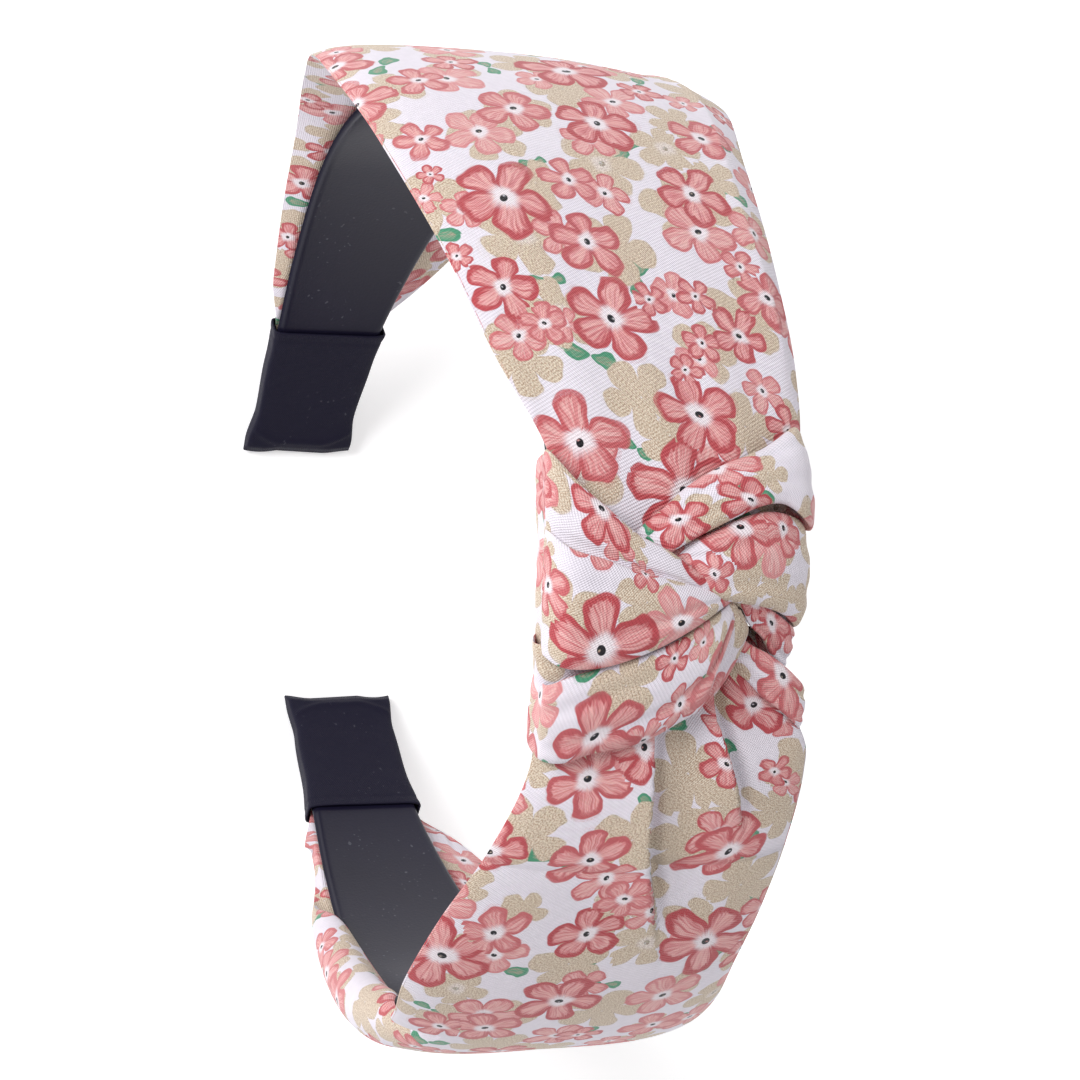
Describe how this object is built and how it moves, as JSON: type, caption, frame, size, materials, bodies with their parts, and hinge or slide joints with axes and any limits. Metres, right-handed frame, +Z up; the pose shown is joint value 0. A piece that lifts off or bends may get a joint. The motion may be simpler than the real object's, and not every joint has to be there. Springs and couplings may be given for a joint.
{
  "type": "knotted headband",
  "caption": "C-shaped springy hair hoop with a wide printed fabric tube over it, tied in a knot near the crown, and ribbon-wrapped tips.",
  "frame": {"origin": "middle of the box's footprint, on the surface that the two tips stand on", "axes": "+Z up from the tips to the crown, X from ear to ear, -Y to the front edge of the band and +Y to its back edge; the knot lies a little to the +X side of the crown"},
  "size_m": [0.15, 0.0614, 0.1509],
  "materials": {
    "hoop_plastic": "satin black moulded plastic",
    "wrap_ribbon": "black satin ribbon",
    "printed_fabric": "satin-faced woven cloth with a floral print in coral, pink, beige and green on off-white"
  },
  "bodies": {
    "root": {"hoop": "hoop_plastic", "tip_wrap_left": "wrap_ribbon", "tip_wrap_right": "wrap_ribbon", "cover_left": "printed_fabric", "cover_right": "printed_fabric", "knot_front_upper": "printed_fabric", "knot_front_middle": "printed_fabric", "knot_front_lower": "printed_fabric", "knot_back_upper": "printed_fabric", "knot_back_middle": "printed_fabric", "knot_back_twist": "printed_fabric", "knot_back_lower": "printed_fabric", "knot_under_pass": "printed_fabric"}
  },
  "joints": []
}
